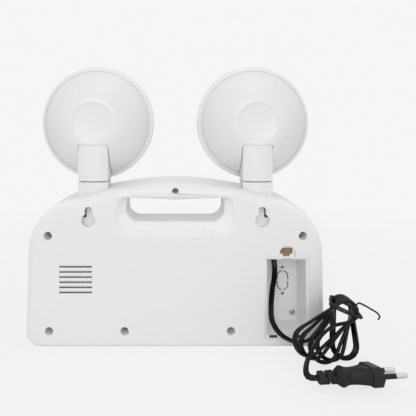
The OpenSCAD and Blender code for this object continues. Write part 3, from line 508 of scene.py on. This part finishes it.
# the mains cord: lead, tied hank and tail in one flat twin flex, sizes in mm
cordSetup = {
    "width": 5.0,
    "thick": 2.7,
    "coreReach": 0.4,  # share of a core's radius over which the two cores are drawn apart
    "groove": 0.24,  # share of the thickness
    "grooveWide": 0.55,
    "flatSide": (0, 0.55, 0.84),  # where the flat side turns to
    "sides": 28,
    "smoothAngle": 80,
    "spacing": 2.4,
    "exit": (90.5, -5, 76),
    "length": 0.885,  # m
    "lead": [
        (90.5, -5, 87), (90.5, -5, 76), (91, -5, 72), (92, -5.5, 67), (92, -8, 61), (90.5, -13, 54),
        (87.5, -20, 47), (85, -28, 39), (83.5, -34.5, 31), (84, -37.5, 25), (87, -38.5, 19),
        (92, -39, 13.5), (98.5, -39, 9.5), (106, -39, 7.5), (113, -38.5, 8.5), (119.5, -38, 12),
        (125.5, -38, 17), (130.5, -39, 23.5), (133.5, -40.5, 31),
    ],
    "tail": [
        (123, -70.5, 33), (118, -72.5, 30), (113, -75, 26.5), (108.5, -78.5, 22.5), (104, -83, 18.5),
        (100.5, -87.5, 14.5), (98.5, -92, 11), (98.5, -96, 9), (101, -98.5, 8.5), (105.5, -98.5, 8.5),
    ],
    "loops": 5,
    "ringsPerLoop": 24,
    "start": 0.88,
    "stepShare": 0.14,
    "top": (142, -42, 48),
    "step": (-0.6, -4.4, 0.9),
    "lean": 0.3,
    "waist": 8,
    "topRadius": 7.2,
    "bottomRadius": [10, 11, 11, 10, 10.5, 10.5],
    "loopLength": [46, 49.5, 53, 56, 58, 58],
    "loopTurn": [-2, -26, -35, -49, -57, -84],
}


def mixedValue(values, at):
    # between the values of two neighbouring loops
    at = max(at, 0)
    low = int(at)
    return values[low] + (at - low) * (values[min(low + 1, len(values) - 1)] - values[low])


def arcPoint(radius, centre, degrees):
    return radius * math.cos(math.radians(degrees)), centre + radius * math.sin(math.radians(degrees))


def beltPoint(share, length, topRadius, lowRadius):
    # round a small top arc, down a flank, round a wider bottom arc and up again
    run = length - topRadius - lowRadius
    tilt = math.degrees(math.asin((lowRadius - topRadius) / run))
    flank = run * math.cos(math.radians(tilt))
    topArc = topRadius * math.radians(90 - tilt)
    lowArc = lowRadius * math.radians(180 + 2 * tilt)
    whole = 2 * topArc + 2 * flank + lowArc
    way = share * whole
    mirrored = way > whole / 2
    if mirrored:
        way = whole - way
    if way < topArc:
        across, up = arcPoint(topRadius, -topRadius, 90 - math.degrees(way / topRadius))
    elif way < topArc + flank:
        across, up = arcPoint(topRadius, -topRadius, tilt)
        across += (way - topArc) * math.sin(math.radians(tilt))
        up -= (way - topArc) * math.cos(math.radians(tilt))
    else:
        bend = math.degrees((way - topArc - flank) / lowRadius)
        across, up = arcPoint(lowRadius, lowRadius - length, tilt - bend)
    return (-across if mirrored else across), up


def hankPoint(t):
    # the whole part of t counts the loops; near its top the cord steps over to the next loop
    c = cordSetup
    nearest = math.floor(t + 0.5)
    off = min(max((t - nearest) / c["stepShare"], -1), 1)
    at = nearest + (math.sin(off * math.pi / 2) - 1) / 2
    length = mixedValue(c["loopLength"], at)
    across, up = beltPoint(t - math.floor(t), length, c["topRadius"], mixedValue(c["bottomRadius"], at))
    up += c["waist"]
    turn = math.radians(mixedValue(c["loopTurn"], at))
    aside = across * math.cos(turn) - up * math.sin(turn)
    high = across * math.sin(turn) + up * math.cos(turn) - c["waist"]
    return Vector(c["top"]) + at * Vector(c["step"]) + Vector((aside, high * c["lean"], high))


def flexSection(co):
    # two round cores side by side with a shallow groove between them
    c = cordSetup
    half = (c["width"] - c["thick"]) / 2
    wide = co.y * c["thick"] / 2 + math.copysign(half * min(1, abs(co.y) / c["coreReach"]), co.y)
    deep = 1 - c["groove"] * math.exp(-((wide / c["grooveWide"]) ** 2))
    return Vector((co.x * c["thick"] / 2 * deep, wide, 0)) * mm


def makeCord():
    c = cordSetup
    count = c["loops"] * c["ringsPerLoop"] + math.ceil(2 * c["ringsPerLoop"] * c["stepShare"])
    hank = [hankPoint(c["start"] - 1 + i / c["ringsPerLoop"]) for i in range(count + 1)]
    points = [Vector(p) for p in c["lead"]] + hank + [Vector(p) for p in c["tail"]]
    line = [p * mm for p in smoothLine(points, c["spacing"])]
    bm = sweepRing(ringFrames(line, Vector(c["flatSide"])), c["sides"], flexSection)
    piece = newPiece("mains_cord", bm, "housing", cordBlack, c["smoothAngle"])
    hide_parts("cord_lead", "cord_hank", "cord_tail")
    return piece, line


mainsCord, cordLine = makeCord()
print("cord made,", len(cordLine), "rings")

# the wire tie: a ribbed band wound nearly twice round the hank, with a thin tail that ends in a hook, in mm
tieSetup = {
    "turn": -20,
    "drop": 6,
    "pitch": 1.8,
    "extra": 10,
    "ring": [
        (13.8, 0), (15.3, 8), (12, 14), (4, 17.4), (-3.8, 15.6), (-6.8, 9), (-8.6, 2),
        (-11.6, -5), (-11.4, -11), (-3.5, -15), (4, -16.4), (12, -15.2), (13.4, -7),
    ],
    "tail": [
        (143.5, -70.5, 49.8), (146.6, -70, 53), (152, -68.5, 50.6), (158, -66.5, 46.8),
        (163.2, -65, 43.4), (165.8, -64.5, 40), (164.5, -64.2, 37.4),
    ],
    "spacing": 0.45,
    "bandHalf": (0.75, 1.15),  # across and along the hank
    "sides": 12,
    "ribRings": 4,  # rings from rib to rib
    "ribDepth": 0.28,  # share of the band's size
    "tailSize": 0.62,
    "thinRings": 24,  # rings over which the band thins to its tail
    "smoothAngle": 55,
}


def bandSection(co):
    across, along = tieSetup["bandHalf"]
    return Vector((co.x * along, co.y * across, 0)) * mm


def makeTie():
    c = tieSetup
    turn = math.radians(c["turn"])
    along = Vector((math.sin(turn), 0, -math.cos(turn)))
    across = Vector((math.cos(turn), 0, math.sin(turn)))
    middleLoop = cordSetup["loops"] / 2 * Vector(cordSetup["step"])
    centre = Vector(cordSetup["top"]) + middleLoop + c["drop"] * along
    count = len(c["ring"])
    last = count + c["extra"]
    turns = []
    for i in range(last + 1):
        x, y = c["ring"][i % count]
        climb = c["pitch"] * (last / 2 - i) / count
        turns.append(centre + x * across + Vector((0, y, 0)) + climb * along)
    line = [p * mm for p in smoothLine(turns + [Vector(p) for p in c["tail"]], c["spacing"])]
    tailStart = len(line) * (len(turns) - 0.5) / (len(turns) + len(c["tail"]))
    sizes = []
    for i in range(len(line)):
        thin = min(max((i - tailStart) / c["thinRings"], 0), 1)
        rib = 1 - c["ribDepth"] * (i % c["ribRings"] < c["ribRings"] / 2)
        sizes.append((1 - thin) * rib + thin * c["tailSize"])
    bm = sweepRing(ringFrames(line, along), c["sides"], bandSection, sizes)
    piece = newPiece("wire_tie", bm, "housing", tieBlack, c["smoothAngle"])
    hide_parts("cord_tie")
    return piece


wireTie = makeTie()
print("tie made")

# the plug: slotted relief, flared shoulder, waisted grip and flange on one axis, in mm
plugSetup = {
    "at": (105.7, -98.5, 8.5),
    "yaw": 4,
    "pitch": 1.5,
    "roll": -16,
    "sides": 48,
    # along, width, thickness above and below the axis, boxiness
    "sections": [
        (0, 7.8, 3.5, 3.5, 2.6), (0.7, 9.6, 4.5, 4.5, 3), (3.9, 9.8, 4.6, 4.6, 3),
        (4.2, 8.6, 1.2, 4.6, 3), (6.2, 8.6, 1.2, 4.6, 3), (6.5, 9.8, 4.6, 4.6, 3),
        (7.4, 9.9, 4.6, 4.6, 3), (7.7, 8.6, 4.6, 1.2, 3), (9.7, 8.6, 4.6, 1.2, 3),
        (10, 10, 4.7, 4.7, 3), (10.9, 10.1, 4.7, 4.7, 3), (11.2, 8.8, 1.3, 4.7, 3),
        (13.2, 8.8, 1.3, 4.7, 3), (13.5, 10.6, 4.9, 4.9, 3), (14.4, 11.4, 5.3, 5.3, 2.8),
        (15.8, 14.6, 6.4, 6.4, 2.6), (17, 17.2, 7.1, 7.1, 2.5), (18.2, 17.5, 7.2, 7.2, 2.5),
        (19.8, 15.8, 6.5, 6.5, 2.6), (22, 14, 5.8, 5.8, 2.8), (25, 14, 5.6, 5.6, 3),
        (28.5, 16.2, 5.7, 5.7, 3.1), (32, 19.8, 5.9, 5.9, 3.3), (35, 23.6, 6.1, 6.1, 3.5),
        (36.7, 26, 6.2, 6.2, 3.6),
    ],
    "flange": [(-16.5, 0), (-11, 6.85), (11, 6.85), (16.5, 0), (11, -6.85), (-11, -6.85)],
    "flangeFrom": 36.5,
    "flangeLong": 8.5,
    "flangeRound": 1.3,
    "roundSteps": 4,
    "smoothAngle": 42,
}


def plugPlace():
    c = plugSetup
    yaw = Matrix.Rotation(math.radians(c["yaw"]), 4, "Z")
    pitch = Matrix.Rotation(math.radians(-c["pitch"]), 4, "Y")
    roll = Matrix.Rotation(math.radians(c["roll"]), 4, "X")
    return Matrix.Translation(Vector(c["at"]) * mm) @ yaw @ pitch @ roll


def bentRound(value, boxiness):
    # 2 is round, more is squarer
    return math.copysign(abs(value) ** (2 / boxiness), value)


def sectionPoint(co, section):
    along, width, above, below, boxiness = section
    thick = above if co.y > 0 else below
    return Vector((along, bentRound(co.x, boxiness) * width / 2, bentRound(co.y, boxiness) * thick)) * mm


def pointKey(co):
    # a point's place in whole steps, by which a copied ring's points are found again
    return tuple(round(value / keyStep) for value in co)


def makePlug():
    c = plugSetup
    bm = bmesh.new()
    ring = bmesh.ops.create_circle(bm, cap_ends=False, radius=1, segments=c["sides"])["verts"]
    onCircle = {}
    for v in ring:
        start = v.co.copy()
        v.co = sectionPoint(start, c["sections"][0])
        onCircle[pointKey(v.co)] = start
    edges = list(bm.edges)
    bmesh.ops.contextual_create(bm, geom=edges)
    for section in c["sections"][1:]:
        out = bmesh.ops.extrude_edge_only(bm, edges=edges)["geom"]
        edges = [g for g in out if isinstance(g, bmesh.types.BMEdge)]
        moved = {}
        for v in (g for g in out if isinstance(g, bmesh.types.BMVert)):
            start = onCircle[pointKey(v.co)]
            v.co = sectionPoint(start, section)
            moved[pointKey(v.co)] = start
        onCircle = moved
    bmesh.ops.contextual_create(bm, geom=edges)
    grip = len(bm.verts)
    bm.verts.ensure_lookup_table()
    corners = [bm.verts.new(Vector((c["flangeFrom"], y, z)) * mm) for y, z in c["flange"]]
    face = bm.faces.new(corners)
    out = bmesh.ops.extrude_face_region(bm, geom=[face])["geom"]
    far = [g for g in out if isinstance(g, bmesh.types.BMVert)]
    bmesh.ops.translate(bm, vec=Vector((c["flangeLong"], 0, 0)) * mm, verts=far)
    bm.verts.ensure_lookup_table()
    blockEdges = list(dict.fromkeys(edge for v in bm.verts[grip:] for edge in v.link_edges))
    bmesh.ops.bevel(
        bm, geom=blockEdges, affect="EDGES", offset=c["flangeRound"] * mm, segments=c["roundSteps"],
        profile=0.5, material=-1,
    )
    bmesh.ops.transform(bm, matrix=plugPlace(), verts=bm.verts)
    piece = newPiece("plug_moulding", bm, "housing", plugBlack, c["smoothAngle"])
    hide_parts("plug_body")
    return piece


plugMoulding = makePlug()
print("plug made")

# moulded parts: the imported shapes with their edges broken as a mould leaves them
edgeSetup = {
    "merge": 0.004,  # mm
    "hardAngle": 28,
    "smoothAngle": 30,
    "room": 2.6,  # an edge is broken where both faces are wider than this many edge widths
    "segments": 2,
    "evenWeight": 100,
    # node: edge width in mm, body
    "parts": {
        "rear_cover": (0.35, "housing"), "front_shell": (0.35, "housing"),
        "swivel_collars": (0.4, "housing"),
        "neck_left": (0.4, "neck_left"), "neck_right": (0.4, "neck_right"),
        "bowl_left": (0.12, "head_left"), "bowl_right": (0.12, "head_right"),
        "bezel_left": (0.12, "head_left"), "bezel_right": (0.12, "head_right"),
        "cover_screws": (0.15, "housing"), "bay_screw": (0.12, "housing"), "test_button": (0.3, "button"),
        "battery": (0.8, "housing"), "battery_strap": (0.2, "housing"), "main_board": (0.15, "housing"),
        "board_parts": (0.3, "housing"), "cord_gland": (0.5, "housing"),
    },
}


# the hand hole, sizes in mm: the underside of its bar lies a little higher and hangs down in the middle,
# and the scoop in the rear cover is shallower than the solid's
gripSetup = {
    "halfWide": 66,
    "scoopFoot": 88,
    "scoopTop": 132.5,
    "scoopDeep": 20,  # in the solid
    "shallow": 8,  # here
    "face": -32,
    "underside": 127.5,
    "foot": 118,  # nothing moves below
    "crown": 139.5,  # nothing moves above
    "rise": 3,
    "belly": 0.8,
}


def raiseGrip(bm):
    c = gripSetup
    for v in bm.verts:
        x, _, z = v.co / mm
        if abs(x) > c["halfWide"] or not c["foot"] < z < c["crown"]:
            continue
        if z < c["underside"]:
            share = (z - c["foot"]) / (c["underside"] - c["foot"])
        else:
            share = (c["crown"] - z) / (c["crown"] - c["underside"])
        rise = c["rise"] - c["belly"] * (1 - (x / c["halfWide"]) ** 2)
        v.co.z += rise * share * mm


def pressScoop(bm):
    c = gripSetup
    floor = c["face"] + c["scoopDeep"]
    pressed = c["face"] + c["shallow"]
    for v in bm.verts:
        x, y, z = v.co / mm
        inScoop = abs(x) <= c["halfWide"] and c["scoopFoot"] < z < c["scoopTop"]
        if not inScoop or not c["face"] < y < 0:
            continue
        if y < floor:
            y = c["face"] + (y - c["face"]) * c["shallow"] / c["scoopDeep"]
        else:
            y = y * pressed / floor
        v.co.y = y * mm


def softenNode(name, width, body):
    c = edgeSetup
    bm = bmesh.new()
    bm.from_mesh(nodes[name].data)
    bmesh.ops.remove_doubles(bm, verts=bm.verts, dist=c["merge"] * mm)
    bmesh.ops.dissolve_degenerate(bm, edges=bm.edges, dist=c["merge"] * mm)
    if name in ("rear_cover", "front_shell"):
        raiseGrip(bm)
    if name == "rear_cover":
        pressScoop(bm)
    hard = math.radians(c["hardAngle"])
    room = c["room"] * width * mm
    chosen = []
    for edge in bm.edges:
        if len(edge.link_faces) != 2 or edge.calc_face_angle(0) < hard:
            continue
        length = max(edge.calc_length(), tiny)
        if all(face.calc_area() / length > room for face in edge.link_faces):
            chosen.append(edge)
    bmesh.ops.bevel(
        bm, geom=chosen, affect="EDGES", offset=width * mm, segments=c["segments"], profile=0.5,
        material=-1, clamp_overlap=False, loop_slide=False,
    )
    piece = placePiece("soft_" + name, bm, body, finishOfNode(name), c["smoothAngle"])
    even = piece.modifiers.new("even normals", "WEIGHTED_NORMAL")
    even.keep_sharp = True
    even.weight = c["evenWeight"]
    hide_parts(name)


for name, (width, body) in edgeSetup["parts"].items():
    softenNode(name, width, body)
print("moulded parts softened")

# the bead moulded round each keyhole, sizes in mm
beadSetup = {
    "pitch": 153,
    "entryHigh": 111,
    "slotHigh": 119.8,
    "entryRadius": 7,
    "slotRadius": 4.1,
    "face": -32,
    "wide": 0.85,
    "high": 0.3,
    "steps": 16,
    "sides": 8,
    "smoothAngle": 60,
}


def makeKeyholeBeads():
    c = beadSetup
    rise = c["slotHigh"] - c["entryHigh"]
    # where the slot's straight sides meet the entry's circle
    meet = math.acos(c["slotRadius"] / c["entryRadius"])
    outline = []
    for i in range(c["steps"] + 1):
        angle = math.pi * i / c["steps"]
        outline.append((c["slotRadius"] * math.cos(angle), rise + c["slotRadius"] * math.sin(angle)))
    for i in range(2 * c["steps"] + 1):
        angle = math.pi - meet + (math.pi + 2 * meet) * i / (2 * c["steps"])
        outline.append((c["entryRadius"] * math.cos(angle), c["entryRadius"] * math.sin(angle)))
    bm = bmesh.new()
    for side in (-1, 1):
        rings = []
        before = outline[-1:] + outline
        after = outline[1:] + outline[:1]
        for (x0, z0), (x, z), (x1, z1) in zip(before, outline, after):
            out = Vector((z1 - z0, 0, x0 - x1)).normalized()
            centre = Vector((side * c["pitch"] / 2 + x, c["face"], c["entryHigh"] + z))
            ring = bmesh.ops.create_circle(bm, cap_ends=False, radius=1, segments=c["sides"])["verts"]
            for v in ring:
                v.co = (centre + out * v.co.x * c["wide"] + Vector((0, c["high"], 0)) * v.co.y) * mm
            rings.append(list(dict.fromkeys(edge for v in ring for edge in v.link_edges)))
        for first, second in zip(rings, rings[1:] + rings[:1]):
            bmesh.ops.bridge_loops(bm, edges=first + second)
    # the bead takes the brighter bezel white, painted light that makes it read lighter than the rear face
    # around it
    newPiece("keyhole_beads", bm, "housing", whiteRing, c["smoothAngle"])


makeKeyholeBeads()
print("keyhole beads made")

# the lamp heads' insides, seen through the lenses from the front; sizes in mm
lampSetup = {
    "across": 75,
    "high": 196.5,
    "turnSteps": 96,
    "facets": 40,
    # radius and depth along Y
    "mirror": [
        (0, 11.7), (22, 11.7), (27, 12.1), (32, 12.9), (37, 14.1), (41.5, 15.7), (45.3, 17.6),
        (46.5, 17.6), (46.5, 16.4), (23.2, 10.5), (0, 10.5),
    ],
    "lensRadius": 48.3,
    "lensBack": 17.9,
    "lensThick": 2,
    "lensCrown": 1.6,
    "lensFlat": 2.4,
    "crownSteps": 12,
    "ridges": 11,
    "ridgeSlope": 0.4,
    "ridgeDepth": 0.5,
    "sources": 8,
    "sourceRing": 14,
    "capSteps": 20,
    "smoothAngles": {"mirror": 3, "lens": 25, "cap": 50, "cove": 50},
    "sourceCap": [(0, 13.9), (1.0, 13.75), (1.8, 13.3), (2.2, 12.7), (2.2, 12.5), (0, 12.5)],
    # the cove where a bowl meets its bezel, open at the neck
    "cove": [(49.7, 8.3), (51.1, 10), (52.8, 11.3), (52.8, 11.8), (49.7, 11.8)],
    "coveStart": 103,
    "coveTurn": 334,
}


def headPlace(side):
    c = lampSetup
    return Matrix.Translation(Vector((side * c["across"], 0, c["high"])) * mm)


def lensProfile():
    # a shallow crown outside, concentric ridges inside
    c = lampSetup
    reach = c["lensRadius"] - c["lensFlat"]
    front = c["lensBack"] + c["lensThick"]
    shares = [i / c["crownSteps"] for i in range(c["crownSteps"] + 1)]
    crown = [(reach * share, front + c["lensCrown"] * (1 - share ** 2)) for share in shares]
    rim = [(c["lensRadius"], front), (c["lensRadius"], c["lensBack"])]
    inner = []
    for i in range(c["ridges"], 0, -1):
        outer = reach * i / c["ridges"]
        inner += [(outer, c["lensBack"]), (outer - c["ridgeSlope"], c["lensBack"] + c["ridgeDepth"])]
    return crown + rim + inner + [(0, c["lensBack"])]


def makeCove(name, side):
    c = lampSetup
    bm = bmesh.new()
    face = bm.faces.new([bm.verts.new(Vector((radius, depth, 0)) * mm) for radius, depth in c["cove"]])
    start = Matrix.Rotation(math.radians(c["coveStart"]), 3, "Y")
    bmesh.ops.rotate(bm, cent=(0, 0, 0), matrix=start, verts=bm.verts)
    bmesh.ops.spin(
        bm, geom=[face], cent=(0, 0, 0), axis=(0, 1, 0), dvec=(0, 0, 0), angle=math.radians(c["coveTurn"]),
        steps=c["turnSteps"], use_merge=False,
    )
    bmesh.ops.transform(bm, matrix=headPlace(side), verts=bm.verts)
    newPiece("bowl_cove_" + name, bm, "head_" + name, whiteLamp, c["smoothAngles"]["cove"])


def makeHeadInside(name, side):
    c = lampSetup
    smooth = c["smoothAngles"]
    body = "head_" + name
    place = headPlace(side)
    bm = bmesh.new()
    addTurned(bm, c["mirror"], place, c["facets"])
    mirror = newPiece("faceted_reflector_" + name, bm, body, mirrorFilm, smooth["mirror"])
    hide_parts("reflector_" + name)
    bm = bmesh.new()
    addTurned(bm, lensProfile(), place, c["turnSteps"])
    lens = newPiece("ridged_lens_" + name, bm, body, clearLens, smooth["lens"])
    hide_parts("lens_" + name)
    bm = bmesh.new()
    for i in range(c["sources"]):
        turn = math.tau * i / c["sources"]
        shift = Vector((math.cos(turn), 0, math.sin(turn))) * c["sourceRing"] * mm
        addTurned(bm, c["sourceCap"], Matrix.Translation(shift) @ place, c["capSteps"])
    newPiece("source_caps_" + name, bm, body, phosphor, smooth["cap"])


for name, side in (("left", -1), ("right", 1)):
    makeHeadInside(name, side)
    makeCove(name, side)
print("lamp insides made")

# floor, world and lamps
studio = {
    "floorSize": 12,
    "backdrop": 0.915,  # linear level of the pale background
    "floorColour": (0.88, 0.88, 0.88),
    "floorRoughness": 0.9,
    "floorShadow": 0.16,
    "shadowReach": 0.75,  # m, where the floor's shadow has faded out
    "shadowStops": ((0.25, 1), (1, 0)),
    "ambient": 0.58,
    "lamps": [
        # name, place in m, size in m, power in W
        ("front", (0.05, -1.9, 0.6), 1, 5.4),
        ("spark", (-0.35, -1.4, 0.9), 0.25, 1.6),
        ("key", (-0.05, -1.2, 1.2), 1.4, 2.6),
        ("top", (0.1, 0.1, 1.6), 1.4, 2.8),
    ],
    "aim": (0, 0, 0.1),
}


def makeFloor():
    bm = bmesh.new()
    bmesh.ops.create_grid(bm, x_segments=1, y_segments=1, size=studio["floorSize"] / 2)
    mesh = bpy.data.meshes.new("studio_floor")
    bm.to_mesh(mesh)
    bm.free()
    floor = bpy.data.objects.new("studio_floor", mesh)
    bpy.context.collection.objects.link(floor)
    level = studio["backdrop"]
    finish = Finish("studio_floor", Base_Color=studio["floorColour"], Roughness=studio["floorRoughness"])
    where = finish.add("TexCoord", out="Object")
    away = finish.add("VectorMath", {"operation": "LENGTH"}, {0: where}, out="Value")
    near = finish.ramp(away / studio["shadowReach"], *studio["shadowStops"])
    seen = finish.add("LightPath", out="Is Camera Ray")
    glow = finish.add("Emission", sockets={"Color": (level, level, level), "Strength": 1.0})
    lit = Wire(finish, finish.shader.outputs[0])
    plain = seen * (1 - studio["floorShadow"] * near)
    mixed = finish.add("MixShader", sockets={0: plain, 1: lit, 2: glow})
    finish.feed(finish.output.inputs["Surface"], mixed)
    floor.data.materials.append(finish.material)


def makeWorld():
    world = bpy.data.worlds.new("studio")
    bpy.context.scene.world = world
    world.use_nodes = True
    sheet = NodeSheet(world.node_tree)
    # the camera, mirrors and lenses see the backdrop's full level, everything else the dimmer ambient
    camera = sheet.add("LightPath", out="Is Camera Ray")
    glossy = sheet.add("LightPath", out="Is Glossy Ray")
    through = sheet.add("LightPath", out="Is Transmission Ray")
    direct = sheet.add("Math", {"operation": "MAXIMUM"}, {0: camera, 1: glossy})
    either = sheet.add("Math", {"operation": "MAXIMUM"}, {0: direct, 1: through})
    back = world.node_tree.nodes["Background"]
    sheet.feed(back.inputs["Color"], (1, 1, 1))
    lift = studio["backdrop"] - studio["ambient"]
    sheet.feed(back.inputs["Strength"], studio["ambient"] + either * lift)


def makeLamps():
    for name, place, size, power in studio["lamps"]:
        data = bpy.data.lights.new(name, "AREA")
        data.shape = "DISK"
        data.size = size
        data.energy = power
        lamp = bpy.data.objects.new(name, data)
        lamp.location = place
        aim = Vector(studio["aim"]) - Vector(place)
        lamp.rotation_euler = aim.to_track_quat("-Z", "Y").to_euler()
        bpy.context.collection.objects.link(lamp)


makeFloor()
makeWorld()
makeLamps()
bpy.context.scene.view_settings.view_transform = "Standard"
print("studio made")
